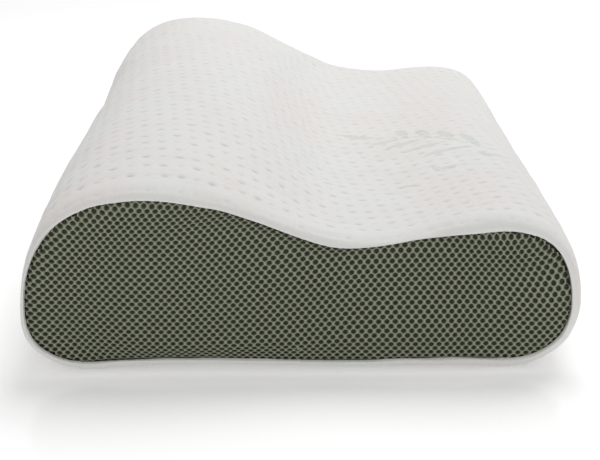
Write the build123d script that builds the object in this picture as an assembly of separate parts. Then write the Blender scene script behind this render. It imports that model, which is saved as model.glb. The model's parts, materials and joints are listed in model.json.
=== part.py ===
from build123d import *
import os
from math import acos, cos, degrees, radians, sin

os.makedirs("parts", exist_ok=True)

# A contour bed pillow: a wave-shaped foam core in a thin sleeve, inside a knitted cover that has a
# spacer mesh panel at each short end and a coil zip along its low long side.
# Millimetres. +Z is up, +Y runs along the pillow, the high lobe is at -X and the low lobe at +X.
# The origin is on the surface that the pillow lies on, under the middle of its box.

# Driving dimensions
LENGTH = 500.0
WIDTH = 300.0
HIGH_LOBE = 114.0
VALLEY = 75.0
LOW_LOBE = 81.0

# Layers, each counted inwards from the outside of the cover
KNIT = 2.0
LAYER_GAP = 0.3
LINER = 0.9
TAPE = 0.6
TAPE_TOP = KNIT + LAYER_GAP
LINER_TOP = TAPE_TOP + TAPE + LAYER_GAP
FOAM_TOP = LINER_TOP + LINER + LAYER_GAP

# How many flats an end's rolled edge has
ROLL_STEPS = 4

# Short ends: the knit rolls over the edge, and the mesh panel is sewn in behind its rim
END_ROUND = 10.0
RIM = 7.0
PANEL_DEPTH = 1.5
PANEL = 4.0
PANEL_INSET = RIM + 1.0
SEAM_RING = 1.9
SEAM_RING_DEPTH = 4.0
LINER_DEPTH = 7.0
FOAM_ROUND = 5.0

# Zip: both halves lie along the low side. Distances are up the side and inwards from its surface.
ZIP_HEIGHT = 20.0
ZIP_INSET = 5.0
ZIP_SLANT = 24.0
SLOT_HALF = 5.3
SLOT_LENGTH = 424.0
TAPE_LENGTH = 436.0
TAPE_EDGE = 0.8
TAPE_WIDTH = 13.0
COIL_EDGE = 0.6
COIL_WIDTH = 2.4
COIL_TOP = 0.4
COIL_DEPTH = 1.8
CHAIN_LENGTH = 412.0
STOP_LENGTH = 2.5
STITCH_LINE = 8.5
THREAD = 0.5
THREAD_SUNK = 0.9 * THREAD
STOP_GAP = 0.2
CLEARANCE = 0.05

# Slider and pull
SLIDER_LENGTH = 11.0
SLIDER_HALF = 4.6
SLIDER_PLATE = 1.0
SLIDER_REST = 200.0
LUG_OUTER = 2.9
LUG_INNER = 2.0
LUG_LENGTH = 3.0
LUG_ABOVE_PIN = 1.3
FLANGE_INSET = 2.0
POST_LENGTH = 2.3
POST_INSET = 0.3
PLATE_CORNER = 2.0
PIN_RISE = 1.6
PIN_RADIUS = 0.6
PIN_CLEARANCE = 0.1
PULL_LENGTH = 24.0
PULL_HALF = 2.8
PULL_THICKNESS = 1.0
PULL_CORNER = 1.2
EYE_WALL = 0.65
PLATE_FRONT = COIL_TOP - LAYER_GAP
PLATE_BACK = TAPE_TOP + TAPE + 2.5 * LAYER_GAP
PIN_INWARD = PLATE_FRONT - SLIDER_PLATE - PIN_RISE
CHANNEL_HALF = SLIDER_HALF + 0.8
CHANNEL_DEPTH = PLATE_BACK + SLIDER_PLATE + 0.4

# Care label, folded double and sewn into the top of the far panel's seam
LABEL_WIDTH = 30.0
LABEL_DROP = 40.0
LABEL_X = -80.0
LABEL_TOP = 96.0
LABEL_DEPTH = 0.5
LABEL_THICKNESS = 0.7


def knots():
    """Points of the section with the heading there and the reach of the curve before and after it."""
    side = WIDTH / 2
    zip_x = side - ZIP_INSET
    return [
        ((-108.0, 0.0), 180.0, 0.0, 24.0),
        ((-side, 32.0), 90.0, 20.0, 52.0),
        ((-78.0, HIGH_LOBE), 0.0, 54.0, 50.0),
        ((34.0, VALLEY), 0.0, 40.0, 26.0),
        ((106.0, LOW_LOBE), 0.0, 26.0, 29.0),
        ((side, 42.0), -90.0, 25.0, 9.0),
        ((zip_x, ZIP_HEIGHT), -90.0 - ZIP_SLANT, 8.0, 12.0),
        ((110.0, 0.0), 180.0, 14.0, 0.0),
    ]


def ahead(point, heading, reach):
    """The point at a reach from another, along a heading in degrees."""
    turn = radians(heading)
    return (point[0] + reach * cos(turn), point[1] + reach * sin(turn))


def inwards(knot, depth):
    """A knot's point moved in from the outside of the cover, square to the outline."""
    return ahead(knot[0], knot[1] - 90.0, depth)


def section_span(start, end, depth):
    """The stretch of outline between two knots. Its reaches shrink with its chord as it moves in."""
    low = Vector(*inwards(start, depth))
    high = Vector(*inwards(end, depth))
    shrink = (high - low).length / (Vector(*end[0]) - Vector(*start[0])).length
    handle_out = ahead((low.X, low.Y), start[1], start[3] * shrink)
    handle_in = ahead((high.X, high.Y), end[1], -end[2] * shrink)
    corners = [(low.X, low.Y), handle_out, handle_in, (high.X, high.Y)]
    return Bezier(*[(x, 0.0, z) for x, z in corners])


def section(depth=0.0):
    """The face in the XZ plane that the outline bounds, a depth in from the outside of the cover."""
    stops = knots()
    spans = [section_span(start, end, depth) for start, end in zip(stops, stops[1:])]
    base = Line(spans[-1] @ 1, spans[0] @ 0)
    return make_face(spans + [base]).face()


def prism(face, start, end):
    """A face of the XZ plane swept from one Y to another."""
    moved = face.moved(Location((0, start, 0)))
    return extrude(moved, amount=end - start, dir=(0, 1, 0))


def end_rings(depth, half_length, radius, last_turn):
    """Wires from the near end to the far one, which roll in over each end by up to the last turn."""
    rings = []
    for side in (-1, 1):
        for step in range(ROLL_STEPS + 1):
            turn = radians(last_turn * step / ROLL_STEPS)
            y = side * (half_length - radius * (1 - sin(turn)))
            wire = section(depth + radius * (1 - cos(turn))).outer_wire()
            rings.insert(0 if side < 0 else len(rings), wire.moved(Location((0, y, 0))))
    return rings


def ruled_faces(rings):
    """The ruled surface through each wire and the next."""
    faces = []
    for ring, following in zip(rings, rings[1:]):
        faces += Shell.make_loft([ring, following], ruled=True).faces()
    return faces


def zip_point(up, inward):
    """A point of the zip's own frame: up the side from the zip line, and inwards from the surface."""
    turn = radians(ZIP_SLANT)
    zip_x, zip_z = knots()[6][0]
    x = zip_x + up * sin(turn) - inward * cos(turn)
    z = zip_z + up * cos(turn) + inward * sin(turn)
    return (x, 0.0, z)


def zip_strip(up_from, up_to, inward_from, inward_to):
    """A rectangle of the zip's frame, as a face in the XZ plane."""
    corners = [(up_from, inward_from), (up_to, inward_from), (up_to, inward_to), (up_from, inward_to)]
    return make_face(Polyline(*[zip_point(up, inward) for up, inward in corners], close=True))


def zip_bar(up_from, up_to, inward_from, inward_to, start, end):
    return prism(zip_strip(up_from, up_to, inward_from, inward_to), start, end)


def zip_rod(radius, half_width, y, inward):
    """A round rod across the zip, with its axis up the side."""
    turn = radians(ZIP_SLANT)
    along = Vector(sin(turn), 0, cos(turn))
    start = Vector(*zip_point(-half_width, inward)) + Vector(0, y, 0)
    return extrude(Plane(start, z_dir=along) * Circle(radius), amount=2 * half_width)


def groove(margin):
    """The channel behind the zip that the slider runs in, wider and deeper all round by a margin."""
    side = CHANNEL_HALF + margin
    return zip_strip(-side, side, -KNIT, CHANNEL_DEPTH + margin)


half = LENGTH / 2
panel_back = half - PANEL_DEPTH - PANEL


def cover_wrap():
    """The knitted panel: a tube with rolled ends, a hole for each mesh panel and a slot for the zip."""
    last_turn = degrees(acos(1 - RIM / END_ROUND))
    outside = end_rings(0.0, half, END_ROUND, last_turn)
    inside = end_rings(KNIT, half - KNIT, END_ROUND - KNIT, last_turn)
    tube = Solid(Shell(ruled_faces(outside + inside[::-1] + outside[:1])))
    return tube - zip_bar(-SLOT_HALF, SLOT_HALF, -KNIT, 2 * KNIT, -SLOT_LENGTH / 2, SLOT_LENGTH / 2)


def end_panel(side):
    """A spacer mesh panel at the short end on one side, -1 near or 1 far."""
    return prism(section(PANEL_INSET), side * (half - PANEL_DEPTH), side * panel_back)


def end_seam(side):
    """The overlock that joins the knit's rim to a mesh panel, inside the cover."""
    inner = PANEL_INSET - LAYER_GAP
    ring = section(inner - SEAM_RING) - section(inner)
    front = half - SEAM_RING_DEPTH
    return prism(ring, side * front, side * (front - 2 * THREAD))


def layer_bar(depth, thickness, up_from, up_to, start, end):
    """A bar along the zip that follows the curve of the side, from a depth to a thickness further in."""
    band = section(depth) - section(depth + thickness)
    bar = band & zip_strip(up_from, up_to, -3 * TAPE_TOP, 3 * TAPE_TOP)
    return prism(bar.face(), start, end)


def side_seam(side):
    """Thread that closes the knit between the zip and a short end."""
    start = side * (SLOT_LENGTH / 2 + 1.0)
    end = side * (half - END_ROUND)
    return layer_bar(-THREAD, THREAD_SUNK, -THREAD / 2, THREAD / 2, start, end)


def sewn_block(depth, half_length, channel_margin):
    """A block with rolled ends, a depth in from the cover's sides, with the channel behind the zip."""
    rings = end_rings(depth, half_length, FOAM_ROUND, 90.0)
    ends = [Face(rings[0]), Face(rings[-1])]
    block = Solid(Shell(ruled_faces(rings) + ends))
    return block - prism(groove(channel_margin), -half, half)


def foam_core():
    """The moulded block, which fills the sleeve."""
    margin = LINER + LAYER_GAP
    return sewn_block(FOAM_TOP, half - LINER_DEPTH - margin, margin)


def inner_liner():
    """The closed jersey sleeve round the core."""
    outside = sewn_block(LINER_TOP, half - LINER_DEPTH, 0.0)
    return outside - sewn_block(LINER_TOP + LINER, half - LINER_DEPTH - LINER, LINER)


def inner_liner_seam():
    """Overlock across the sleeve's near end, where it was sewn shut round the core."""
    bead = Plane.XZ * Pos(0, VALLEY / 2) * Rectangle(WIDTH * 2 / 3, 2 * THREAD)
    back = LINER_DEPTH - half - CLEARANCE
    return prism(bead.face(), back - 1.5 * THREAD, back)


def zip_tape(side):
    """One half's woven tape, which follows the curve of the side just behind the knit."""
    low, high = sorted([side * TAPE_EDGE, side * (TAPE_EDGE + TAPE_WIDTH)])
    return layer_bar(TAPE_TOP, TAPE, low, high, -TAPE_LENGTH / 2, TAPE_LENGTH / 2)


def zip_coil(side):
    """One half of the chain. The two halves stand apart by the room that the slider's post needs."""
    low, high = sorted([side * COIL_EDGE, side * (COIL_EDGE + COIL_WIDTH)])
    bar = zip_bar(low, high, COIL_TOP, COIL_TOP + COIL_DEPTH, -CHAIN_LENGTH / 2, CHAIN_LENGTH / 2)
    return fillet(bar.edges().filter_by(Axis.Y), COIL_DEPTH / 3)


def zip_stitching(side):
    """The lockstitch row that holds one tape to the knit."""
    low = side * STITCH_LINE - THREAD / 2
    return layer_bar(-THREAD, THREAD_SUNK, low, low + THREAD, -TAPE_LENGTH / 2, TAPE_LENGTH / 2)


def zip_top_stops():
    """A clamp on each half at the closed end."""
    start = CHAIN_LENGTH / 2 + STOP_GAP
    outer = COIL_EDGE + COIL_WIDTH
    stops = [
        zip_bar(low, low + COIL_WIDTH, COIL_TOP - 0.1, COIL_TOP + COIL_DEPTH, start, start + STOP_LENGTH)
        for low in (COIL_EDGE, -outer)
    ]
    return Compound(stops)


def zip_bottom_stop():
    """The clamp that holds both halves together at the open end."""
    start = -CHAIN_LENGTH / 2 - STOP_GAP
    outer = COIL_EDGE + COIL_WIDTH
    return zip_bar(-outer, outer, COIL_TOP - 0.1, COIL_TOP + COIL_DEPTH, start - STOP_LENGTH, start)


def round_corners(plate, radius):
    """Rounds the corners of a plate that lies along the zip."""
    outwards = Vector(*zip_point(0, 0)) - Vector(*zip_point(0, 1))
    return fillet(plate.edges().filter_by(Axis((0, 0, 0), outwards)), radius)


def zip_slider():
    """Two plates joined by a thin post between the coils, with side flanges and the lugs of the pull."""
    start = SLIDER_REST - SLIDER_LENGTH / 2
    end = SLIDER_REST + SLIDER_LENGTH / 2
    plate_top = PLATE_FRONT - SLIDER_PLATE
    flange_from = COIL_EDGE + COIL_WIDTH + 0.4
    flange_to = TAPE_TOP - LAYER_GAP - CLEARANCE
    post_end = end - POST_INSET
    post_half = COIL_EDGE / 2 - CLEARANCE
    front = zip_bar(-SLIDER_HALF, SLIDER_HALF, plate_top, PLATE_FRONT, start, end)
    back = zip_bar(-SLIDER_HALF, SLIDER_HALF, PLATE_BACK, PLATE_BACK + SLIDER_PLATE, start, end)
    body = round_corners(front, PLATE_CORNER) + round_corners(back, PLATE_CORNER)
    body += zip_bar(-post_half, post_half, PLATE_FRONT, PLATE_BACK, post_end - POST_LENGTH, post_end)
    for low in (flange_from, -SLIDER_HALF):
        high = low + SLIDER_HALF - flange_from
        body += zip_bar(low, high, PLATE_FRONT, flange_to, start + FLANGE_INSET, end - FLANGE_INSET)
    lug_start = SLIDER_REST - LUG_LENGTH / 2
    for low in (LUG_INNER, -LUG_OUTER):
        high = low + LUG_OUTER - LUG_INNER
        body += zip_bar(low, high, PIN_INWARD - LUG_ABOVE_PIN, plate_top, lug_start, lug_start + LUG_LENGTH)
    return body + zip_rod(PIN_RADIUS, LUG_OUTER, SLIDER_REST, PIN_INWARD)


def zip_pull():
    """The tab, with an eye that turns on the slider's pin."""
    eye_half = LUG_INNER - LAYER_GAP
    eye_bore = PIN_RADIUS + PIN_CLEARANCE
    low = PIN_INWARD - PULL_THICKNESS / 2
    high = low + PULL_THICKNESS
    wide_from = SLIDER_REST + LUG_LENGTH / 2 + LUG_ABOVE_PIN
    neck = zip_bar(-eye_half, eye_half, low, high, SLIDER_REST, wide_from + 0.5)
    tab = zip_bar(-PULL_HALF, PULL_HALF, low, high, wide_from, SLIDER_REST + PULL_LENGTH)
    eye = zip_rod(eye_bore + EYE_WALL, eye_half, SLIDER_REST, PIN_INWARD)
    pull = eye + neck + round_corners(tab, PULL_CORNER)
    return pull - zip_rod(eye_bore, 2 * eye_half, SLIDER_REST, PIN_INWARD)


def care_label():
    """A blank woven label, folded double, hanging flat against the far mesh panel."""
    back = half - LABEL_DEPTH
    leaf = Box(LABEL_WIDTH, LABEL_THICKNESS, LABEL_DROP)
    return leaf.moved(Location((LABEL_X, back - LABEL_THICKNESS / 2, LABEL_TOP - LABEL_DROP / 2)))


nodes = {
    "foam_core": foam_core(),
    "inner_liner": inner_liner(),
    "inner_liner_seam": inner_liner_seam(),
    "cover_wrap": cover_wrap(),
    "near_end_panel": end_panel(-1),
    "far_end_panel": end_panel(1),
    "near_end_seam": end_seam(-1),
    "far_end_seam": end_seam(1),
    "near_side_seam": side_seam(-1),
    "far_side_seam": side_seam(1),
    "upper_zip_tape": zip_tape(1),
    "lower_zip_tape": zip_tape(-1),
    "upper_zip_coil": zip_coil(1),
    "lower_zip_coil": zip_coil(-1),
    "upper_zip_stitching": zip_stitching(1),
    "lower_zip_stitching": zip_stitching(-1),
    "zip_top_stops": zip_top_stops(),
    "zip_bottom_stop": zip_bottom_stop(),
    "zip_slider": zip_slider(),
    "zip_pull": zip_pull(),
    "care_label": care_label(),
}

for name, shape in nodes.items():
    export_step(shape, f"parts/{name}.step")
    print(name, round(shape.volume, 1))
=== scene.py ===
import json
import math

import bmesh
import bpy
import numpy as np
from mathutils import Euler, Matrix, Vector
from mathutils.kdtree import KDTree


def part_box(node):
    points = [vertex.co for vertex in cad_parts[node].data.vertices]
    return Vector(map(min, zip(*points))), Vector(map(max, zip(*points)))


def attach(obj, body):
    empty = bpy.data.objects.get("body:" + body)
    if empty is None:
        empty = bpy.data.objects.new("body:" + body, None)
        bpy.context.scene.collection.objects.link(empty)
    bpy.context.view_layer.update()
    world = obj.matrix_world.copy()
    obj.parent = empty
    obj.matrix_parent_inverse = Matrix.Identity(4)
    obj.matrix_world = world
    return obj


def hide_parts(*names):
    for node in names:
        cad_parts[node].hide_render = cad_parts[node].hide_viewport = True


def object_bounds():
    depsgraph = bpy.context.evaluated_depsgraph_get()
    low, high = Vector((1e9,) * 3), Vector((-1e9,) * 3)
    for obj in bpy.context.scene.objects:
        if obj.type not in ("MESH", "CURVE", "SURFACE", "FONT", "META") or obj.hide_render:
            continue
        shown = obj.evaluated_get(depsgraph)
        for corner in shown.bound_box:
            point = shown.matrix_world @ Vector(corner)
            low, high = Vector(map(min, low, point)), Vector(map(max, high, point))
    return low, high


# A contour bed pillow in a white knitted cover with a sage spacer mesh face at each short end.
# Metres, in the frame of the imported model: +Y runs along the pillow, its high lobe is at -X, its
# low lobe and zip are at +X, and it lies on z = 0. Every place comes from the frame.

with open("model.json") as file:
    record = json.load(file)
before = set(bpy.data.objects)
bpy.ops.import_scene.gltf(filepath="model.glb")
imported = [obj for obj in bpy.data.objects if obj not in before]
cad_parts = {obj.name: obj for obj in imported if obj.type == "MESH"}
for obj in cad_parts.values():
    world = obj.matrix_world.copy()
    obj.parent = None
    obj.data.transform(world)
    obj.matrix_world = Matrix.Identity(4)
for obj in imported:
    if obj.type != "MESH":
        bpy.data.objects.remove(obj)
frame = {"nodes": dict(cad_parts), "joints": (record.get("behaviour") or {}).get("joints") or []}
CAD_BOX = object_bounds()
MM = 0.001


# ---------------------------------------------------------------- camera

# Millimetres for the lens, metres for the place, and degrees for the turns
CAMERA_LENS = 89.9
CAMERA_SENSOR = 36.0
CAMERA_PLACE = (-0.0047, -0.9843, 0.3151)
CAMERA_DOWN = 17.6
CAMERA_SIDEWAYS = -0.25
CAMERA_ROLL = 0.4


def aim_camera():
    """Looks at the near short end from a little above, through a long lens."""
    data = bpy.data.cameras.new("camera")
    data.lens = CAMERA_LENS
    data.sensor_width = CAMERA_SENSOR
    camera = bpy.data.objects.new("camera", data)
    camera.location = CAMERA_PLACE
    turn = Euler((math.radians(90.0 - CAMERA_DOWN), 0.0, math.radians(CAMERA_SIDEWAYS))).to_matrix()
    camera.rotation_euler = (turn @ Matrix.Rotation(math.radians(CAMERA_ROLL), 3, "Z")).to_euler()
    bpy.context.scene.collection.objects.link(camera)
    bpy.context.scene.camera = camera


# ---------------------------------------------------------------- number helpers

def ease(value, start, end):
    """0 before start and 1 after end, with a smooth turn between them."""
    t = np.clip((value - start) / (end - start), 0.0, 1.0)
    return t * t * (3.0 - 2.0 * t)


def ripple(a, b, seed):
    """A slow wave over two coordinates, from about -1 to 1, always the same for a seed."""
    rng = np.random.default_rng(seed)
    total = 0.0
    for turn in rng.uniform(0.0, math.tau, (5, 3)):
        scale = 0.6 + turn[2] / math.tau
        total = total + np.sin(scale * (a * math.cos(turn[0]) + b * math.sin(turn[0])) + turn[1])
    return total / 3.0


# ---------------------------------------------------------------- the section, read from the frame

def cut_loop(node, y):
    """The longest loop in which the plane at y cuts a CAD node, as points (x, z) in order."""
    bm = bmesh.new()
    bm.from_mesh(frame["nodes"][node].data)
    bmesh.ops.remove_doubles(bm, verts=bm.verts[:], dist=1e-6)
    whole = bm.verts[:] + bm.edges[:] + bm.faces[:]
    cut = bmesh.ops.bisect_plane(bm, geom=whole, plane_co=(0, y, 0), plane_no=(0, 1, 0))
    unused = {item for item in cut["geom_cut"] if isinstance(item, bmesh.types.BMEdge)}
    loops = []
    while unused:
        edge = unused.pop()
        start, here = edge.verts
        loop = [(here.co.x, here.co.z)]
        while here != start:
            edge = next(e for e in here.link_edges if e in unused)
            unused.remove(edge)
            here = edge.other_vert(here)
            loop.append((here.co.x, here.co.z))
        loops.append(np.array(loop))
    bm.free()
    return max(loops, key=lambda loop: np.linalg.norm(np.diff(loop, axis=0), axis=1).sum())


def fill_gaps(loop, longest):
    """Adds points on the long straight runs of a loop."""
    filled = []
    for start, end in zip(loop, np.roll(loop, -1, axis=0)):
        steps = max(1, int(np.linalg.norm(end - start) / longest))
        filled += [start + (end - start) * i / steps for i in range(steps)]
    return np.array(filled)


def spline_slopes(points, gap):
    """The slopes of the smooth closed cubic through points whose chords are given by gap."""
    count = len(points)
    before = np.roll(gap, 1)
    system = np.diag(2.0 * (before + gap))
    for i in range(count):
        system[i, i - 1] += gap[i]
        system[i, (i + 1) % count] += before[i]
    chord_in = (points - np.roll(points, 1, axis=0)) / before[:, None]
    chord_out = (np.roll(points, -1, axis=0) - points) / gap[:, None]
    return np.linalg.solve(system, 3.0 * (gap[:, None] * chord_in + before[:, None] * chord_out))


def smooth_loop(loop, count):
    """Evenly spaced points on the smooth curve through a loop, anticlockwise from its underside."""
    area = np.sum(loop[:, 0] * np.roll(loop[:, 1], -1) - loop[:, 1] * np.roll(loop[:, 0], -1))
    points = fill_gaps(loop if area > 0 else loop[::-1], 12 * MM)
    following = np.roll(points, -1, axis=0)
    gap = np.linalg.norm(following - points, axis=1)
    slope = spline_slopes(points, gap)
    t = np.linspace(0.0, 1.0, 24, endpoint=False)[None, :, None]
    chord = gap[:, None, None]
    curve = (
        (2 * t**3 - 3 * t**2 + 1) * points[:, None]
        + (t**3 - 2 * t**2 + t) * chord * slope[:, None]
        + (3 * t**2 - 2 * t**3) * following[:, None]
        + (t**3 - t**2) * chord * np.roll(slope, -1, axis=0)[:, None]
    ).reshape(-1, 2)
    under = np.argmin(np.abs(curve[:, 0]) + 10.0 * curve[:, 1])
    curve = np.roll(curve, -under, axis=0)
    closed = np.vstack([curve, curve[:1]])
    run = np.concatenate([[0.0], np.cumsum(np.linalg.norm(np.diff(closed, axis=0), axis=1))])
    places = np.linspace(0.0, run[-1], count, endpoint=False)
    even = np.stack([np.interp(places, run, closed[:, axis]) for axis in (0, 1)], axis=1)
    return even, run[-1]


def outward(loop):
    """The unit normals that point out of an anticlockwise loop."""
    along = np.roll(loop, -1, axis=0) - np.roll(loop, 1, axis=0)
    along /= np.linalg.norm(along, axis=1)[:, None]
    return np.stack([along[:, 1], -along[:, 0]], axis=1)


COLUMNS = 522
HALF = CAD_BOX[1].y
OUTLINE, PERIMETER = smooth_loop(cut_loop("cover_wrap", 0.94 * HALF), COLUMNS)
NORMALS = outward(OUTLINE)
LEFT, RIGHT = OUTLINE[:, 0].min(), OUTLINE[:, 0].max()
TOP = OUTLINE[:, 1].max()
ZIP_LOW = min(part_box("lower_zip_tape")[0].x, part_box("upper_zip_tape")[0].x)
ZIP_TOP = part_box("upper_zip_tape")[1].z
ZIP_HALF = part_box("upper_zip_tape")[1].y


MIDDLE = OUTLINE.mean(axis=0)
SHARES = np.arange(COLUMNS) / COLUMNS
ANGLES = np.arctan2(OUTLINE[:, 1] - MIDDLE[1], OUTLINE[:, 0] - MIDDLE[0])
REACHES = np.linalg.norm(OUTLINE - MIDDLE, axis=1)
ORDER = np.argsort(ANGLES)

# Where the zip runs: its own up and outward directions, and the middle of its chain
ZIP_UP = -np.array(next(j for j in frame["joints"] if j["name"] == "zip_pull_swing")["axis"])
ZIP_OUT = np.array((ZIP_UP[2], 0.0, -ZIP_UP[0]))


def node_points(node):
    """Every corner of a CAD node's mesh."""
    return np.array([v.co for v in frame["nodes"][node].data.vertices])


ZIP_MIDDLE = np.vstack([node_points("upper_zip_coil"), node_points("lower_zip_coil")]).mean(axis=0)


def inset(depth):
    """The outline moved inwards by a depth, one for all or one for each point."""
    return OUTLINE - np.reshape(depth, (-1, 1)) * NORMALS


# The white rim round each mesh face: a usual width, thinner where the face's edge bulges out
RIM_WIDTH = 5 * MM
LEFT_FLANK_RIM = 1.5 * MM
UNDERSIDE_RIM = 3 * MM


def about(place, span):
    """A smooth bump round the outline, 1 at a place given as a share of the way round."""
    off = (SHARES - place + 0.5) % 1.0 - 0.5
    return np.exp(-((off / span) ** 2))


def nearest_share(x, z):
    """The share of the way round at which the outline passes nearest to a point."""
    return SHARES[np.argmin(np.hypot(OUTLINE[:, 0] - x, OUTLINE[:, 1] - z))]


LEFT_FLANK = nearest_share(LEFT, TOP / 2)
UNDERSIDE = nearest_share(0.0, 0.0)
SHOULDER = nearest_share(RIGHT * 0.95, TOP * 0.6)
RIM = RIM_WIDTH + (LEFT_FLANK_RIM - RIM_WIDTH) * about(LEFT_FLANK, 0.06)
RIM = RIM + (UNDERSIDE_RIM - RIM_WIDTH) * about(UNDERSIDE, 0.08)


# ---------------------------------------------------------------- how the real pillow settles

# Shares of the height that the lobes gain at mid-length and at each end
HIGH_MIDDLE = -0.01
HIGH_NEAR = -0.095
HIGH_FAR = -0.032
LOW_NEAR = 0.072
LOW_FAR = -0.1
VALLEY_RISE = 0.03
FAR_WIDER = 0.0085
# How far each end face stands in at the low side, where the foam is shorter
NEAR_RECESS = 11 * MM
FAR_RECESS = 13 * MM
# How far the low lobe's shoulder draws in at the near end, and over what share of the way round
SHOULDER_DRAW = 4 * MM
SHOULDER_SPAN = 0.04


def zip_zone(x, z):
    """1 where the zip lies and has to stay straight, and 0 away from it."""
    return ease(x, ZIP_LOW - 45 * MM, ZIP_LOW - 5 * MM) * (1.0 - ease(z, ZIP_TOP, ZIP_TOP + 25 * MM))


def share_round(x, z):
    """How far round the outline a point lies, as a share, and how near the outline it is, up to 1."""
    offset_x, offset_z = x - MIDDLE[0], z - MIDDLE[1]
    angle = np.arctan2(offset_z, offset_x)
    share = np.interp(angle, ANGLES[ORDER], SHARES[ORDER], period=math.tau)
    reach = np.interp(angle, ANGLES[ORDER], REACHES[ORDER], period=math.tau)
    return share, np.clip(np.hypot(offset_x, offset_z) / reach, 0.0, 1.0)


def near_draw(x, y, z):
    """How far the section draws in towards the near end, as moves in X and Z."""
    share, nearness = share_round(x, z)
    size = SHOULDER_DRAW * np.exp(-(((share - SHOULDER) / SHOULDER_SPAN) ** 2))
    size = size * nearness**2 * np.clip(-y / HALF, 0.0, 1.0) ** 5
    column = np.round(share * COLUMNS).astype(int) % COLUMNS
    return -size * NORMALS[column, 0], -size * NORMALS[column, 1]


def settle(points):
    """Moves points of the CAD's space to where the soft pillow has them."""
    x, y, z = points[..., 0], points[..., 1], points[..., 2]
    t = y / HALF
    zone = zip_zone(x, z)
    free = 1.0 - zone
    draw_x, draw_z = near_draw(x, y, z)
    high = 1.0 - ease(x, LEFT * 0.49, RIGHT * 0.21)
    low = ease(x, RIGHT * -0.03, RIGHT * 0.5)
    end_drop = np.where(t < 0, HIGH_NEAR, HIGH_FAR) * np.abs(t) ** 5
    rise = high * (HIGH_MIDDLE + end_drop)
    rise = rise + low * (LOW_NEAR + (LOW_FAR - LOW_NEAR) * (t + 1) / 2)
    rise = rise + (1.0 - high) * (1.0 - low) * VALLEY_RISE
    near = ease(-y, 0.2 * HALF, HALF) * free + ease(-y, ZIP_HALF, HALF) * zone
    far = ease(y, 0.2 * HALF, HALF) * free
    lean = (x - LEFT) / (RIGHT - LEFT)
    return np.stack([
        x * (1.0 + FAR_WIDER * t * free) + draw_x,
        y + lean * (NEAR_RECESS * near - FAR_RECESS * far),
        z * (1.0 + rise * free) + draw_z,
    ], axis=-1)


# ---------------------------------------------------------------- how the stuffed cover swells

# The simulated skin swells far more than a sewn cover would. So its moves are scaled until the
# middle one brings the skin back to where it started, and then none may pass the cap.
SKIN_COLUMNS = 116
SKIN_STEP = 12 * MM
SWELL_FRAMES = 20
SWELL_STIFFNESS = 400
SWELL_SHEAR = 120
SWELL_BEND = 20
SWELL_PRESSURE = 4
SWELL_START = 3 * MM
SWELL_CAP = 4 * MM


def skin_rings():
    """Rings of the closed skin that is simulated, from the middle of one end to that of the other."""
    every = COLUMNS // SKIN_COLUMNS
    edge = inset(RIM)[::every]
    caps = [MIDDLE + (edge - MIDDLE) * share for share in (0.2, 0.4, 0.6, 0.78, 0.92)]
    roll = inset(RIM / 3)[::every]
    sides = np.arange(-HALF + 7 * MM, HALF - 6 * MM, SKIN_STEP)
    rings = [(ring, -HALF) for ring in caps]
    rings += [(roll, -HALF + 2 * MM)] + [(OUTLINE[::every], y) for y in sides] + [(roll, HALF - 2 * MM)]
    rings += [(ring, HALF) for ring in caps[::-1]]
    return np.array([np.insert(ring, 1, y, axis=1) for ring, y in rings])


def simulate_swell():
    """Where the skin's points start, and how far each moves when the stuffing's pressure fills it."""
    rest = settle(skin_rings())
    rows, columns = rest.shape[:2]
    start = rest.reshape(-1, 3)
    faces = sheet_faces(rows, columns, closed=True).tolist()
    faces += [list(range(columns))[::-1], list(range((rows - 1) * columns, rows * columns))]
    mesh = bpy.data.meshes.new("swelling")
    mesh.from_pydata(start.tolist(), [], faces)
    mesh.update()
    normals = np.array([v.normal for v in mesh.vertices])
    inner = start - SWELL_START * normals
    mesh.vertices.foreach_set("co", inner.ravel())
    skin = bpy.data.objects.new("swelling", mesh)
    bpy.context.scene.collection.objects.link(skin)
    cloth = skin.modifiers.new("cloth", "CLOTH")
    cloth.settings.quality = 6
    cloth.settings.tension_stiffness = SWELL_STIFFNESS
    cloth.settings.compression_stiffness = SWELL_STIFFNESS
    cloth.settings.shear_stiffness = SWELL_SHEAR
    cloth.settings.bending_stiffness = SWELL_BEND
    cloth.settings.use_pressure = True
    cloth.settings.uniform_pressure_force = SWELL_PRESSURE
    cloth.settings.effector_weights.gravity = 0
    for step in range(1, SWELL_FRAMES + 1):
        bpy.context.scene.frame_set(step)
    moved = skin.evaluated_get(bpy.context.evaluated_depsgraph_get()).to_mesh()
    after = np.array([v.co for v in moved.vertices])
    bpy.data.objects.remove(skin)
    bpy.context.scene.frame_set(1)
    filled = after - inner
    fullness = SWELL_START / np.median(np.sum(filled * normals, axis=1))
    move = filled * fullness - SWELL_START * normals
    size = np.linalg.norm(move, axis=1)
    return start, move * np.minimum(1.0, SWELL_CAP / np.maximum(size, 1e-9))[:, None]


SWELL_FIELD = None


def swell_at(points, near=10):
    """The simulated skin's move at any points, from the nearest points of the skin."""
    start, move, tree = SWELL_FIELD
    moves = np.zeros_like(points)
    for i, point in enumerate(points.tolist()):
        found = tree.find_n(point, near)
        share = [1.0 / (distance + 6 * MM) ** 2 for _, _, distance in found]
        total = sum(share)
        for (_, index, _), weight in zip(found, share):
            moves[i] += move[index] * (weight / total)
    return moves


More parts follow.
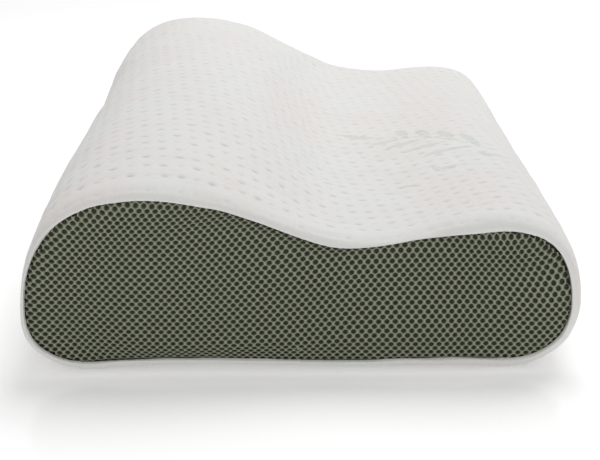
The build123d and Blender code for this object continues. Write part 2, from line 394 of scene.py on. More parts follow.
def shape(points):
    """Where the finished pillow has points of the CAD's space: settled, and swelled where it's free."""
    flat = np.asarray(points, dtype=float).reshape(-1, 3)
    settled = settle(flat)
    if SWELL_FIELD is not None:
        free = 1.0 - zip_zone(flat[:, 0], flat[:, 2])
        nearness = share_round(flat[:, 0], flat[:, 2])[1]
        at_end = ease(np.abs(flat[:, 1]), HALF - 14 * MM, HALF - 6 * MM)
        free = free * (1.0 - at_end * (1.0 - ease(nearness, 0.6, 0.92)))
        settled = settled + swell_at(settled) * free[:, None]
    settled[:, 2] = np.maximum(settled[:, 2], 0.0)
    return settled.reshape(np.shape(points))


# ---------------------------------------------------------------- mesh helpers

def link(name, mesh, material, replaced=(), body="pillow"):
    """Makes a piece of a mesh, on a body of the frame, in place of CAD nodes."""
    piece = bpy.data.objects.new(name, mesh)
    bpy.context.scene.collection.objects.link(piece)
    mesh.polygons.foreach_set("use_smooth", [True] * len(mesh.polygons))
    mesh.materials.append(material)
    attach(piece, body)
    if replaced:
        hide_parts(*replaced)
    return piece


def sheet_faces(rows, columns, closed, skip=None):
    """The quads of a grid of points. The columns may close round, and skip leaves some out."""
    last = columns if closed else columns - 1
    row, column = np.meshgrid(np.arange(rows - 1), np.arange(last), indexing="ij")
    if skip is not None:
        row, column = row[~skip], column[~skip]
    row, column = row.ravel(), column.ravel()
    right = (column + 1) % columns
    corners = [
        row * columns + column, row * columns + right,
        (row + 1) * columns + right, (row + 1) * columns + column,
    ]
    return np.stack(corners, axis=1)


def new_mesh(name, vertices, faces):
    """A mesh of points and faces."""
    mesh = bpy.data.meshes.new(name)
    mesh.from_pydata(np.asarray(vertices).reshape(-1, 3).tolist(), [], [list(f) for f in faces])
    return mesh


def clean(mesh, weld):
    """Welds points closer than a distance and drops what is left without area."""
    bm = bmesh.new()
    bm.from_mesh(mesh)
    bmesh.ops.remove_doubles(bm, verts=bm.verts[:], dist=weld)
    bmesh.ops.dissolve_degenerate(bm, edges=bm.edges[:], dist=weld / 2)
    bmesh.ops.delete(bm, geom=[v for v in bm.verts if not v.link_faces], context="VERTS")
    bm.to_mesh(mesh)
    bm.free()


def tube(path, radius, sides, facing, closed=False):
    """The points and faces of a thread along a path. Facing is any direction across the path."""
    path = np.asarray(path, dtype=float)
    if closed:
        along = np.roll(path, -1, axis=0) - np.roll(path, 1, axis=0)
    else:
        along = np.gradient(path, axis=0)
    along /= np.linalg.norm(along, axis=1)[:, None]
    across = np.cross(along, facing)
    across /= np.linalg.norm(across, axis=1)[:, None]
    up = np.cross(across, along)
    turn = np.linspace(0.0, math.tau, sides, endpoint=False)
    ring = np.cos(turn)[None, :, None] * across[:, None] + np.sin(turn)[None, :, None] * up[:, None]
    points = path[:, None] + radius * ring
    count = len(path)
    faces = sheet_faces(count, sides, closed=True).tolist()
    if closed:
        last = (count - 1) * sides
        faces += [[last + i, last + (i + 1) % sides, (i + 1) % sides, i] for i in range(sides)]
    else:
        faces += [list(range(sides))[::-1], list(range((count - 1) * sides, count * sides))]
    return points.reshape(-1, 3), faces


def combine(name, parts):
    """One mesh of several parts, each given as points and faces."""
    points, faces, offset = [], [], 0
    for part_points, part_faces in parts:
        points.append(part_points)
        faces += [[corner + offset for corner in face] for face in part_faces]
        offset += len(part_points)
    return new_mesh(name, np.vstack(points), faces)


# ---------------------------------------------------------------- materials

def new_material(name, colour, roughness):
    """A principled material and its shader."""
    material = bpy.data.materials.new(name)
    material.use_nodes = True
    shader = material.node_tree.nodes["Principled BSDF"]
    shader.inputs["Base Color"].default_value = (*colour, 1.0)
    shader.inputs["Roughness"].default_value = roughness
    return material, shader


def add(material, kind, **values):
    """A node of a kind, with its inputs or its own settings given by name."""
    node = material.node_tree.nodes.new(kind)
    for key, value in values.items():
        target = node.inputs.get(key.replace("_", " "))
        if target is None:
            setattr(node, key, value)
        else:
            target.default_value = value
    return node


def join(material, source, target):
    material.node_tree.links.new(source, target)


def object_point(material, scale=(1, 1, 1), turn=(0, 0, 0)):
    """Object coordinates, turned and scaled to a pattern's size."""
    coordinates = add(material, "ShaderNodeTexCoord")
    mapping = add(material, "ShaderNodeMapping", Scale=scale, Rotation=turn)
    join(material, coordinates.outputs["Object"], mapping.inputs["Vector"])
    return mapping.outputs["Vector"]


def pattern(material, kind, point, **values):
    """A texture node at a point."""
    node = add(material, kind, **values)
    join(material, point, node.inputs["Vector"])
    return node


def ramp(material, factor, dark, light, low=0.3, high=0.7):
    """A colour between two, by a factor."""
    node = add(material, "ShaderNodeValToRGB")
    node.color_ramp.elements[0].position = low
    node.color_ramp.elements[0].color = (*dark, 1.0)
    node.color_ramp.elements[1].position = high
    node.color_ramp.elements[1].color = (*light, 1.0)
    join(material, factor, node.inputs["Fac"])
    return node.outputs["Color"]


def paint(material, shader, colour):
    join(material, colour, shader.inputs["Base Color"])


def emboss(material, shader, height, strength, distance):
    """Bumps the shader's normal by a height."""
    bump = add(material, "ShaderNodeBump", Strength=strength, Distance=distance)
    join(material, height, bump.inputs["Height"])
    join(material, bump.outputs["Normal"], shader.inputs["Normal"])


def soften(shader, sheen, roughness=0.5):
    """The soft glow of cloth fibres at grazing angles."""
    shader.inputs["Sheen Weight"].default_value = sheen
    shader.inputs["Sheen Roughness"].default_value = roughness


def cover_knit():
    """Off-white double knit: fine ribs, faint warm and cool patches, a sage motif, and painted shade in its
    dimples.
    """
    material, shader = new_material("cover_knit", (0.76, 0.75, 0.73), 0.88)
    soften(shader, 0.25, 0.6)
    point = object_point(material)
    patches = pattern(material, "ShaderNodeTexNoise", point, Scale=16.0, Detail=3.0)
    white = ramp(material, patches.outputs["Fac"], (0.69, 0.66, 0.64), (0.68, 0.69, 0.67))
    motif = add(material, "ShaderNodeAttribute", attribute_name="motif")
    edge = add(material, "ShaderNodeMapRange", From_Min=-0.0002, From_Max=0.0002, To_Min=1.0, To_Max=0.0)
    join(material, motif.outputs["Fac"], edge.inputs["Value"])
    mix = add(material, "ShaderNodeMix", data_type="RGBA")
    mix.inputs[7].default_value = (0.5, 0.52, 0.47, 1.0)
    join(material, edge.outputs["Result"], mix.inputs["Factor"])
    # Painted shade: the dip attribute darkens the knit to as little as 0.68 of its colour where the dimples
    # are deepest.
    dip = add(material, "ShaderNodeAttribute", attribute_name="dip")
    shade = add(material, "ShaderNodeMapRange", From_Min=0.2, From_Max=1.0, To_Min=1.0, To_Max=0.68)
    join(material, dip.outputs["Fac"], shade.inputs["Value"])
    shaded = add(material, "ShaderNodeVectorMath", operation="SCALE")
    join(material, white, shaded.inputs[0])
    join(material, shade.outputs["Result"], shaded.inputs["Scale"])
    join(material, shaded.outputs["Vector"], mix.inputs[6])
    paint(material, shader, mix.outputs[2])
    fine = object_point(material, (400, 400, 400))
    ribs = pattern(material, "ShaderNodeTexWave", fine, Scale=1.0, Distortion=2.0)
    emboss(material, shader, ribs.outputs["Fac"], 0.3, 0.0003)
    return material


def strands(name, dark, light, roughness):
    """Sage polyester strands with fine twisted filaments, a painted highlight on their crests and painted
    shade down into the holes.
    """
    material, shader = new_material(name, light, roughness)
    soften(shader, 0.15)
    point = object_point(material)
    noise = pattern(material, "ShaderNodeTexNoise", point, Scale=420.0, Detail=2.0)
    # Painted light: the crest attribute lightens the strands' crests as a highlight and darkens the holes'
    # walls as shade, and the fibre noise varies the tone at random.
    crest = add(material, "ShaderNodeAttribute", attribute_name="crest")
    blend = add(material, "ShaderNodeMath", operation="MULTIPLY_ADD")
    join(material, noise.outputs["Fac"], blend.inputs[0])
    blend.inputs[1].default_value = 0.5
    join(material, crest.outputs["Fac"], blend.inputs[2])
    paint(material, shader, ramp(material, blend.outputs["Value"], dark, light, 0.3, 1.0))
    twist = pattern(material, "ShaderNodeTexNoise", point, Scale=1700.0, Detail=1.0)
    emboss(material, shader, twist.outputs["Fac"], 0.5, 0.0003)
    return material


def woven(name, colour, shade, pitch, roughness=0.7, sheen=0.2, turn=(0, 0, 0)):
    """Crossed yarns of one colour, at a pitch in metres, with painted shade in the hollows between the yarns.
    """
    material, shader = new_material(name, colour, roughness)
    soften(shader, sheen)
    scale = 1.0 / pitch
    point = object_point(material, (scale, scale, scale), turn)
    warp = pattern(material, "ShaderNodeTexWave", point, Scale=0.5, bands_direction="Y")
    weft = pattern(material, "ShaderNodeTexWave", point, Scale=0.5, bands_direction="Z")
    cross = add(material, "ShaderNodeMath", operation="MULTIPLY")
    join(material, warp.outputs["Fac"], cross.inputs[0])
    join(material, weft.outputs["Fac"], cross.inputs[1])
    # Painted shade: the yarns darken towards the hollows between them, where the bump is lowest.
    dark = tuple(c * shade for c in colour)
    paint(material, shader, ramp(material, cross.outputs["Value"], dark, colour, 0.05, 0.6))
    emboss(material, shader, cross.outputs["Value"], 0.6, pitch / 3)
    return material


def foam_material():
    """Cream viscoelastic foam with fine open cells and painted shade in their pores."""
    material, shader = new_material("foam", (0.86, 0.78, 0.6), 0.9)
    cells = pattern(material, "ShaderNodeTexVoronoi", object_point(material), Scale=900.0)
    pore_shade = cells.outputs["Distance"]
    # Painted shade: the cells darken towards their pores' middles, where the bump is lowest.
    paint(material, shader, ramp(material, pore_shade, (0.7, 0.6, 0.42), (0.88, 0.8, 0.62), 0.1, 0.5))
    emboss(material, shader, cells.outputs["Distance"], 0.6, 0.0005)
    return material


def twisted(name, colour):
    """Spun thread, with painted shade in the slanting grooves of its twist."""
    material, shader = new_material(name, colour, 0.6)
    soften(shader, 0.3)
    point = object_point(material, (1500, 1500, 1500), (0.6, 0.4, 0.5))
    plies = pattern(material, "ShaderNodeTexWave", point, Scale=1.0, Distortion=1.0)
    # Painted shade: the thread darkens into the grooves of its twist, where the bump is lowest.
    dark = tuple(c * 0.8 for c in colour)
    paint(material, shader, ramp(material, plies.outputs["Fac"], dark, colour, 0.2, 0.7))
    emboss(material, shader, plies.outputs["Fac"], 0.5, 0.0002)
    return material


def nylon():
    """Translucent white monofilament."""
    material, shader = new_material("zip_coil", (0.8, 0.8, 0.78), 0.35)
    shader.inputs["Coat Weight"].default_value = 0.3
    noise = pattern(material, "ShaderNodeTexNoise", object_point(material), Scale=300.0)
    paint(material, shader, ramp(material, noise.outputs["Fac"], (0.72, 0.72, 0.7), (0.84, 0.84, 0.82)))
    emboss(material, shader, noise.outputs["Fac"], 0.2, 0.0001)
    return material


def painted_metal():
    """White enamel on zinc, a little worn and scratched."""
    material, shader = new_material("zip_metal", (0.78, 0.78, 0.77), 0.32)
    shader.inputs["Metallic"].default_value = 0.35
    noise = pattern(material, "ShaderNodeTexNoise", object_point(material), Scale=700.0, Detail=5.0)
    wear = noise.outputs["Fac"]
    paint(material, shader, ramp(material, wear, (0.6, 0.6, 0.59), (0.8, 0.8, 0.79), 0.3, 0.5))
    rough = add(material, "ShaderNodeMapRange", To_Min=0.25, To_Max=0.5)
    join(material, noise.outputs["Fac"], rough.inputs["Value"])
    join(material, rough.outputs["Result"], shader.inputs["Roughness"])
    emboss(material, shader, noise.outputs["Fac"], 0.15, 0.0001)
    return material


# ---------------------------------------------------------------- the knitted cover

ROW_STEP = 1.46 * MM
RIM_ROLL = 9 * MM
RIM_TURN = 128.0
RIM_STEPS = 12
RIM_TUCK = 1.4 * MM
DIMPLE_PITCH = PERIMETER / round(PERIMETER / (9 * MM))
DIMPLE_ROW = 11.7 * MM
DIMPLE_SHIFT = 0.14
DIMPLE_DEPTH = 1.1 * MM
KNIT_COURSE = 3.9 * MM
KNIT_COURSE_DEPTH = 0.32 * MM
SLOT_REACH = 5.3 * MM
SLOT_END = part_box("upper_zip_coil")[1].y + 6 * MM


def wrap_rows():
    """Each row of the cover: its place along the pillow, its share of the rim's width, and its tuck."""
    turns = np.radians(np.linspace(RIM_TURN, 0.0, RIM_STEPS, endpoint=False))
    near = [
        (-(HALF - RIM_ROLL * (1 - math.sin(a))), min(1 - math.cos(a), 1.0), max(-math.cos(a), 0.0) * RIM_TUCK)
        for a in turns
    ]
    side_end = HALF - RIM_ROLL
    body = [(y, 0.0, 0.0) for y in np.linspace(-side_end, side_end, 2 * round(side_end / ROW_STEP) + 1)]
    far = [(-y, share, tuck) for y, share, tuck in near[::-1]]
    return np.array(near + body + far)


def dimples(around, along):
    """How far the knit dips at a place round the outline and along the pillow, between 0 and 1."""
    row = along / DIMPLE_ROW
    dip = 0.0
    for extra in (0, 1):
        line = np.floor(row) + extra
        across = around / DIMPLE_PITCH - DIMPLE_SHIFT * line
        cell = np.round(across)
        uneven = 0.75 + 0.25 * np.sin(cell * 2.4 + line * 4.1)
        off_across = (across - cell) * DIMPLE_PITCH / (2.7 * MM)
        off_along = ((row - line) * DIMPLE_ROW - 0.4 * MM * np.sin(cell * 1.7 + line)) / (1.5 * MM)
        dip = dip + uneven * np.exp(-(off_across**2) - off_along**2)
    return dip


def knit_rows(around, along):
    """The knit's fine uneven courses across the pillow, between -1 and 1."""
    wander = ripple(around / (26 * MM), along / (30 * MM), 5)
    courses = np.sin(along * math.tau / KNIT_COURSE + 2.4 * wander)
    return courses * ripple(around / (7 * MM), along / (5 * MM), 2)


def leaf_edge(x, y, root, angle, length, width):
    """How far outside a leaf a place is: negative on the leaf, apart from its midrib."""
    turn = math.radians(angle)
    along = (x - root[0]) * math.cos(turn) + (y - root[1]) * math.sin(turn)
    across = np.abs((y - root[1]) * math.cos(turn) - (x - root[0]) * math.sin(turn))
    share = np.clip(along / length, 0.0, 1.0)
    half_width = width * 2.6 * share * (1.0 - share) ** 0.7
    outside = np.maximum(np.abs(along - length / 2) - length / 2, 0.0)
    rib = 0.5 * MM * (1.0 - share)
    return np.maximum(np.maximum(across - half_width, outside), rib - across)


def motif_edge(points):
    """How far each place is from a sprig of leaves knitted into the low lobe's top."""
    x, y, z = points[..., 0], points[..., 1], points[..., 2]
    bend = np.clip((SPRIG_TIP[0] - x) / (SPRIG_TIP[0] - SPRIG_ROOT[0]), 0.0, 1.0)
    stem_y = SPRIG_TIP[1] + (SPRIG_ROOT[1] - SPRIG_TIP[1]) * bend**1.5
    inside = (x > min(SPRIG_ROOT[0], SPRIG_TIP[0])) & (x < max(SPRIG_ROOT[0], SPRIG_TIP[0]))
    edge = np.where(inside, np.abs(y - stem_y) - 0.8 * MM, 1.0)
    for step in range(SPRIG_PAIRS):
        share = 0.12 + 0.8 * step / SPRIG_PAIRS
        root_x = SPRIG_ROOT[0] + (SPRIG_TIP[0] - SPRIG_ROOT[0]) * share
        root_y = SPRIG_TIP[1] + (SPRIG_ROOT[1] - SPRIG_TIP[1]) * (1 - share) ** 1.5
        size = 40 * MM * (1.0 - 0.4 * share)
        for angle in (SPRIG_ANGLE + 48.0, SPRIG_ANGLE - 48.0):
            edge = np.minimum(edge, leaf_edge(x, y, (root_x, root_y), angle, size, 5.0 * MM))
    edge = np.minimum(edge, leaf_edge(x, y, SPRIG_TIP, SPRIG_ANGLE, 30 * MM, 6.5 * MM))
    for step in range(FALLEN_LEAVES):
        root = FALLEN_START + (FALLEN_END - FALLEN_START) * step / (FALLEN_LEAVES - 1)
        angle = SPRIG_ANGLE + (-35.0 if step % 2 else 35.0)
        edge = np.minimum(edge, leaf_edge(x, y, root, angle, FALLEN_LENGTH, FALLEN_WIDTH))
    return np.where(z > TOP * 0.4, edge, 1.0)


SPRIG_ROOT = (RIGHT * 0.82, -0.36 * HALF)
SPRIG_TIP = (RIGHT * 0.36, -0.1 * HALF)
SPRIG_ANGLE = 150.0
SPRIG_PAIRS = 4
FALLEN_LEAVES = 5
FALLEN_START = np.array((RIGHT * 0.5, -0.6 * HALF))
FALLEN_END = np.array((RIGHT * 0.9, -0.4 * HALF))
FALLEN_LENGTH = 20 * MM
FALLEN_WIDTH = 3.5 * MM


def cover_wrap(material):
    rows = wrap_rows()
    y = np.repeat(rows[:, :1], COLUMNS, axis=1)
    on_side = ease(HALF - np.abs(y), 2 * MM, RIM_ROLL)
    around = (SHARES * PERIMETER)[None, :]
    side = np.stack(np.broadcast_arrays(OUTLINE[None, :, 0], y, OUTLINE[None, :, 1]), axis=-1)
    zip_share = SHARES[np.argmin(np.sum((OUTLINE - ZIP_MIDDLE[[0, 2]]) ** 2, axis=1))]
    from_zip = (SHARES - zip_share) * PERIMETER
    by_zip = np.exp(-((from_zip / (14 * MM)) ** 4))[None, :] * (np.abs(y) < SLOT_END + 12 * MM)
    motif = motif_edge(side)
    dips = dimples(around, y) * (0.35 + 0.65 * on_side) * (1.0 - by_zip)
    knit = DIMPLE_DEPTH * dips + KNIT_COURSE_DEPTH * knit_rows(around, y) * (1.0 - by_zip)
    knit = knit + 0.35 * MM * ease(-motif, -0.5 * MM, 0.8 * MM)
    slack = 0.35 * MM * ripple(around / (30 * MM), y / (42 * MM), 3) * (1.0 - by_zip)
    pucker = 0.08 * MM * np.sin(around / (4.3 * MM) + 2.0 * ripple(around / (20 * MM), y, 7))
    seam_near = ease(np.abs(y), HALF - 10 * MM, HALF - 2 * MM)
    depth = RIM[None, :] * rows[:, 1:2] + rows[:, 2:] + knit + slack + pucker * seam_near * (1.0 - by_zip)
    x = OUTLINE[None, :, 0] - depth * NORMALS[None, :, 0]
    z = OUTLINE[None, :, 1] - depth * NORMALS[None, :, 1]
    points = shape(np.stack([x, y, z], axis=-1))
    columns_out = np.abs(from_zip + PERIMETER / COLUMNS / 2) < SLOT_REACH
    middle_y = (rows[1:, 0] + rows[:-1, 0]) / 2
    slot = (np.abs(middle_y) < SLOT_END)[:, None] & columns_out[None, :]
    mesh = new_mesh("cover_knit_wrap", points, sheet_faces(len(rows), COLUMNS, True, skip=slot))
    mesh.attributes.new("motif", "FLOAT", "POINT").data.foreach_set("value", motif.ravel())
    # The dimples' depth goes to the material as the dip attribute, which paints shade into them.
    mesh.attributes.new("dip", "FLOAT", "POINT").data.foreach_set("value", dips.ravel())
    clean(mesh, 0.001 * MM)
    piece = link("cover_knit_wrap", mesh, material, ["cover_wrap"])


# ---------------------------------------------------------------- spacer mesh faces

CELL_ACROSS = 4.3 * MM
CELL_UP = 2.5 * MM
PANEL_SUNK = 2.4 * MM
PANEL_CROWN = 4.0 * MM
PANEL_EASE = 8 * MM
HOLE_ACROSS = 1.22 * MM
HOLE_UP = 1.3 * MM
HEXAGON = (
    (1, -1), (1, 1), (0.5, 1.5), (0, 2), (-0.5, 1.5),
    (-1, 1), (-1, -1), (-0.5, -1.5), (0, -2), (0.5, -1.5),
)


def hold_inside(points, loop):
    """Points (x, z), those outside a loop moved to its nearest corner, and each one's distance in."""
    normals = outward(loop)
    nearest = np.empty(len(points), dtype=int)
    for start in range(0, len(points), 20000):
        gap = points[start:start + 20000, None, :] - loop[None, :, :]
        nearest[start:start + 20000] = np.argmin((gap**2).sum(-1), axis=1)
    inside = -np.sum((points - loop[nearest]) * normals[nearest], axis=1)
    held = np.where(inside[:, None] < 0, loop[nearest], points)
    return held, np.maximum(inside, 0.0)


def end_loop():
    """The line along which a mesh face is sewn in, seen along the pillow."""
    return inset(RIM + 0.7 * MM)


def end_place(points, lift, side):
    """Points (x, z) of an end face, on its crown and lifted from it, in the finished pillow."""
    held, inside = hold_inside(points, end_loop())
    crown = PANEL_CROWN * (1.0 - np.exp(-inside / PANEL_EASE))
    y = HALF - PANEL_SUNK + crown + lift
    return shape(np.stack([held[:, 0], side * y, held[:, 1]], axis=-1))


def cell_centres():
    """The middle of each hole that lies inside the seam, in staggered rows."""
    low, high = OUTLINE.min(axis=0), OUTLINE.max(axis=0)
    columns = np.arange(math.floor(low[0] / CELL_ACROSS), math.ceil(high[0] / CELL_ACROSS) + 1)
    column, line = np.meshgrid(columns, np.arange(math.ceil(high[1] / CELL_UP) + 1))
    centres = np.stack([(column + 0.5 * (line % 2)) * CELL_ACROSS, line * CELL_UP], axis=-1)
    centres = centres.reshape(-1, 2)
    inside = hold_inside(centres, end_loop())[1]
    return centres[inside > 0.0]


def spacer_face(side, name, node, material):
    """The open front layer of a mesh panel: rounded strands round staggered oval holes."""
    centres = cell_centres()
    cell = np.array(HEXAGON) * (CELL_ACROSS / 2, CELL_UP / 3)
    turn = np.arctan2(cell[:, 1], cell[:, 0])
    hole = np.stack([HOLE_ACROSS * np.cos(turn), HOLE_UP * np.sin(turn)], axis=1)
    rings = ((cell, 0.0), (0.5 * cell + 0.5 * hole, -0.2 * MM), (0.95 * hole, -0.8 * MM), (hole, -2.0 * MM))
    around = len(cell)
    flat = np.stack([centres[:, None] + ring[None] for ring, _ in rings], axis=1).reshape(-1, 2)
    lift = np.tile(np.repeat([height for _, height in rings], around), len(centres))
    drift = [ripple(flat[:, 0] / (18 * MM), flat[:, 1] / (14 * MM), seed) for seed in (4, 9)]
    points = end_place(flat + np.stack(drift, axis=1) * 0.5 * MM, lift, side)
    start, i = np.meshgrid(np.arange(len(rings) - 1) * around, np.arange(around), indexing="ij")
    j = (i + 1) % around
    quads = np.stack([start + i, start + j, start + j + around, start + i + around], axis=-1)
    faces = quads.reshape(1, -1, 4) + (np.arange(len(centres)) * around * len(rings))[:, None, None]
    mesh = new_mesh(name, points, faces.reshape(-1, 4)[:, ::-1 if side > 0 else 1])
    # The crest attribute drives painted light in the material: a highlight on the strands' crests, fading to
    # painted shade at the bottom of the holes.
    crest = np.tile(np.repeat((1.0, 0.55, 0.1, 0.0), around), len(centres))
    mesh.attributes.new("crest", "FLOAT", "POINT").data.foreach_set("value", crest)
    clean(mesh, 0.05 * MM)
    return link(name, mesh, material, [node])


def spacer_pile(side, name, material):
    """The dense back layer of a mesh panel, darkened with painted shade, which shows through the holes."""
    edge = end_loop()[::3]
    rings = [MIDDLE + (edge - MIDDLE) * share for share in np.linspace(1.0, 0.01, 40)]
    points = end_place(np.vstack(rings), -2.0 * MM, side)
    mesh = new_mesh(name, points, sheet_faces(len(rings), len(edge), closed=True))
    piece = link(name, mesh, material)


# ---------------------------------------------------------------- inner layers

def follow(node, name, material, step):
    """A CAD node's own shape, cut finely enough to settle and swell with the pillow."""
    bm = bmesh.new()
    bm.from_mesh(frame["nodes"][node].data)
    bmesh.ops.remove_doubles(bm, verts=bm.verts[:], dist=1e-6)
    low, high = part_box(node)
    for axis in range(3):
        normal = [float(i == axis) for i in range(3)]
        for place in np.arange(low[axis] + step / 2, high[axis], step):
            geometry = bm.verts[:] + bm.edges[:] + bm.faces[:]
            bmesh.ops.bisect_plane(bm, geom=geometry, plane_co=[place * n for n in normal], plane_no=normal)
    points = shape(np.array([v.co for v in bm.verts]))
    for vertex, point in zip(bm.verts, points):
        vertex.co = point
    mesh = bpy.data.meshes.new(name)
    bm.to_mesh(mesh)
    bm.free()
    return link(name, mesh, material, [node])


# ---------------------------------------------------------------- zip and threads

COIL_PITCH = 1.4 * MM
COIL_WIRE = 0.33 * MM
COIL_STEPS = 12
STITCH = 2.6 * MM
STITCH_GAP = 0.7 * MM
STITCH_RADIUS = 0.24 * MM


def zip_coil(node, name, material):
    """One half of the chain: monofilament wound in flat loops, whose heads reach the middle."""
    box = node_points(node)
    up = (box - ZIP_MIDDLE) @ ZIP_UP
    out = (box - ZIP_MIDDLE) @ ZIP_OUT
    sign = 1.0 if up.mean() > 0 else -1.0
    inner, outer = COIL_WIRE, np.abs(up).max()
    length = box[:, 1].max() - box[:, 1].min()
    turns = int(length / COIL_PITCH)
    angle = np.linspace(0.0, turns * math.tau, turns * COIL_STEPS)
    y = box[:, 1].min() + length * angle / angle[-1] + (0.5 * COIL_PITCH if sign > 0 else 0.0)
    reach_up = (outer - inner) / 2 - COIL_WIRE / 2
    reach_out = (out.max() - out.min()) / 2 - COIL_WIRE
    flat = np.sign(np.cos(angle)) * np.abs(np.cos(angle)) ** 0.7
    across = sign * ((outer + inner) / 2 + reach_up * flat)
    path = ZIP_MIDDLE * (1, 0, 1) + across[:, None] * ZIP_UP + (reach_out * np.sin(angle))[:, None] * ZIP_OUT
    path[:, 1] = np.minimum(y, box[:, 1].max())
    link(name, combine(name, [tube(path, COIL_WIRE, 6, (0.0, 1.0, 0.02))]), material, [node])


def stitches(path, outwards):
    """The parts of a lockstitch row: a rounded stitch that dips at both ends, then a gap."""
    run = np.concatenate([[0.0], np.cumsum(np.linalg.norm(np.diff(path, axis=0), axis=1))])
    parts = []
    for start in np.arange(0.0, run[-1] - STITCH, STITCH + STITCH_GAP):
        share = np.linspace(0.0, 1.0, 7)
        places = start + STITCH * share
        middle = np.stack([np.interp(places, run, path[:, axis]) for axis in range(3)], axis=1)
        rise = STITCH_RADIUS * (2.6 * np.sin(math.pi * share) ** 0.6 - 1.6)
        parts.append(tube(middle + rise[:, None] * np.asarray(outwards), STITCH_RADIUS, 6, outwards))
    return parts


def stitch_row(node, name, material):
    """Visible stitches where the CAD has a plain bar of thread."""
    box = node_points(node)
    middle = box.mean(axis=0)
    nearest = np.argmin(np.sum((OUTLINE - middle[[0, 2]]) ** 2, axis=1))
    out = np.array((NORMALS[nearest, 0], 0.0, NORMALS[nearest, 1]))
    surface = np.array((OUTLINE[nearest, 0], 0.0, OUTLINE[nearest, 1]))
    y = np.linspace(box[:, 1].min(), box[:, 1].max(), 200)
    path = shape(np.stack([np.full(200, surface[0]), y, np.full(200, surface[2])], axis=1))
    link(name, combine(name, stitches(path, out)), material, [node])


def overlock(side, name, node, material):
    """Looped thread round the hidden seam between the knit's rim and a mesh face."""
    loops = int(PERIMETER / (2.4 * MM))
    angle = np.linspace(0.0, loops * math.tau, loops * 8, endpoint=False)
    place = angle / angle[-1] * (COLUMNS - 1)
    depth = RIM + 1.6 * MM
    ring = inset(depth)
    centre = np.stack([np.interp(place, np.arange(COLUMNS), ring[:, axis]) for axis in (0, 1)], axis=1)
    normal = np.stack([np.interp(place, np.arange(COLUMNS), NORMALS[:, axis]) for axis in (0, 1)], axis=1)
    flat = centre + normal * (0.7 * MM * np.cos(angle))[:, None]
    y = side * (HALF - 6.5 * MM + 0.6 * MM * np.sin(angle))
    path = shape(np.stack([flat[:, 0], y, flat[:, 1]], axis=1))
    thread = tube(path, 0.2 * MM, 5, (0.05, 1.0, 0.02), closed=True)
    link(name, combine(name, [thread]), material, [node])


def sleeve_overlock(name, node, material):
    """Looped thread across the sleeve's near end."""
    low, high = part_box(node)
    loops = int((high.x - low.x) / (2.0 * MM))
    angle = np.linspace(0.0, loops * math.tau, loops * 8)
    x = low.x + (high.x - low.x) * angle / angle[-1]
    y = (low.y + high.y) / 2 - 0.2 * MM * np.sin(angle)
    z = (low.z + high.z) / 2 + 1.6 * MM * np.cos(angle)
    path = shape(np.stack([x, y, z], axis=1))
    link(name, combine(name, [tube(path, 0.18 * MM, 5, (0.0, 1.0, 0.02))]), material, [node])


# ---------------------------------------------------------------- care label

LABEL_CURL = 1.2 * MM


def care_label(material):
    """A blank satin label, folded double at its lower edge, that hangs over the face's crown."""
    low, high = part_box("care_label")
    drop = high.z - low.z
    across = np.linspace(low.x, high.x, 16)
    down = np.linspace(0.0, 1.0, 24)
    crest = end_place(np.array([((low.x + high.x) / 2, low.z)]), 0.0, 1)[0, 1]
    hang = np.interp(down, (0.0, 0.25, 1.0), (high.y - 0.3 * MM, crest + 0.8 * MM, crest + 1.4 * MM))
    hang = hang + LABEL_CURL * ease(down, 0.5, 1.0)
    leaves = []
    for gap in (0.0, 0.35 * MM):
        leaves.append(np.stack([hang + gap, high.z - drop * down], axis=1))
    profile = np.vstack([leaves[0], leaves[1][::-1]])
    x = np.repeat(across[None, :], len(profile), axis=0)
    wave = 0.3 * MM * np.sin((across - low.x) * 260.0)[None, :] * ease(profile[:, 1:], high.z, low.z)
    y = profile[:, :1] + wave
    z = np.repeat(profile[:, 1:], len(across), axis=1)
    points = np.stack([x, y, z], axis=-1)
    mesh = new_mesh("care_label_leaf", points, sheet_faces(len(profile), len(across), closed=False))
    piece = link("care_label_leaf", mesh, material, ["care_label"], body="label")


# ---------------------------------------------------------------- studio

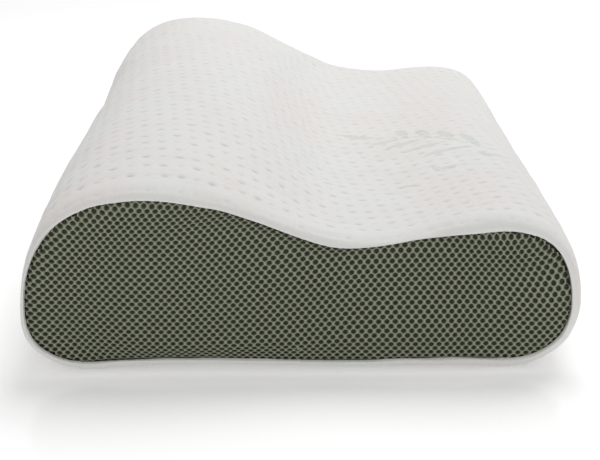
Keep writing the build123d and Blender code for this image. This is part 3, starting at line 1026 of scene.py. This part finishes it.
def studio():
    """A pale floor, one broad soft light overhead, one in front, and a white surround."""
    bpy.ops.mesh.primitive_plane_add(size=12.0)
    floor = bpy.context.object
    floor.name = "floor"
    material, shader = new_material("floor_white", (0.93, 0.93, 0.93), 0.18)
    shader.inputs["Specular IOR Level"].default_value = 0.6
    shader.inputs["Emission Color"].default_value = (1, 1, 1, 1)
    shader.inputs["Emission Strength"].default_value = 0.2
    floor.data.materials.append(material)
    world = bpy.data.worlds.new("studio")
    world.use_nodes = True
    world.node_tree.nodes["Background"].inputs["Color"].default_value = (1, 1, 1, 1)
    world.node_tree.nodes["Background"].inputs["Strength"].default_value = 0.5
    bpy.context.scene.world = world
    for name, place, size, power in (
        ("key", (0.35, 0.7, 1.7), 1.3, 24.0),
        ("front", (0.2, -2.2, 0.7), 1.4, 10.5),
    ):
        light = bpy.data.lights.new(name, "AREA")
        light.size = size
        light.energy = power
        lamp = bpy.data.objects.new(name, light)
        lamp.location = place
        lamp.rotation_euler = (Vector((0, 0, 0.05)) - Vector(place)).to_track_quat("-Z", "Y").to_euler()
        bpy.context.scene.collection.objects.link(lamp)
    bpy.context.scene.view_settings.view_transform = "Standard"


# ---------------------------------------------------------------- build it all

aim_camera()
studio()
skin_start, skin_move = simulate_swell()
skin_tree = KDTree(len(skin_start))
for index, point in enumerate(skin_start):
    skin_tree.insert(point, index)
skin_tree.balance()
SWELL_FIELD = (skin_start, skin_move, skin_tree)

thread = twisted("white_thread", (0.78, 0.77, 0.74))
# The dark colour is painted shade down the holes; the light one is the strands' colour on their crests, with
# a painted highlight.
front = strands("spacer_mesh", (0.075, 0.086, 0.05), (0.245, 0.262, 0.178), 0.45)
# The back layer's colours are painted shade: its sage darkened for the shade it lies in behind the front
# layer.
pile = strands("spacer_pile", (0.035, 0.04, 0.024), (0.09, 0.1, 0.06), 0.8)
tape = woven("zip_tape", (0.78, 0.77, 0.74), 0.75, 0.6 * MM)
metal = painted_metal()

cover_wrap(cover_knit())
for side, end in ((-1, "near"), (1, "far")):
    face = spacer_face(side, f"{end}_mesh_face", f"{end}_end_panel", front)
    spacer_pile(side, f"{end}_mesh_pile", pile)
    overlock(side, f"{end}_overlock", f"{end}_end_seam", thread)
    stitch_row(f"{end}_side_seam", f"{end}_side_stitches", thread)
foam = follow("foam_core", "foam_block", foam_material(), 14 * MM)
jersey = woven("liner_jersey", (0.8, 0.8, 0.78), 0.85, 0.9 * MM)
sleeve = follow("inner_liner", "jersey_sleeve", jersey, 14 * MM)
sleeve_overlock("sleeve_overlock", "inner_liner_seam", thread)
coil = nylon()
for half in ("upper", "lower"):
    zip_coil(f"{half}_zip_coil", f"{half}_coil", coil)
    stitch_row(f"{half}_zip_stitching", f"{half}_tape_stitches", thread)
    frame["nodes"][f"{half}_zip_tape"].material_slots[0].material = tape
for node in ("zip_top_stops", "zip_bottom_stop", "zip_slider", "zip_pull"):
    frame["nodes"][node].material_slots[0].material = metal
care_label(woven("label_weave", (0.82, 0.82, 0.8), 0.85, 0.35 * MM, 0.45, 0.4, (0, 0, math.pi / 2)))
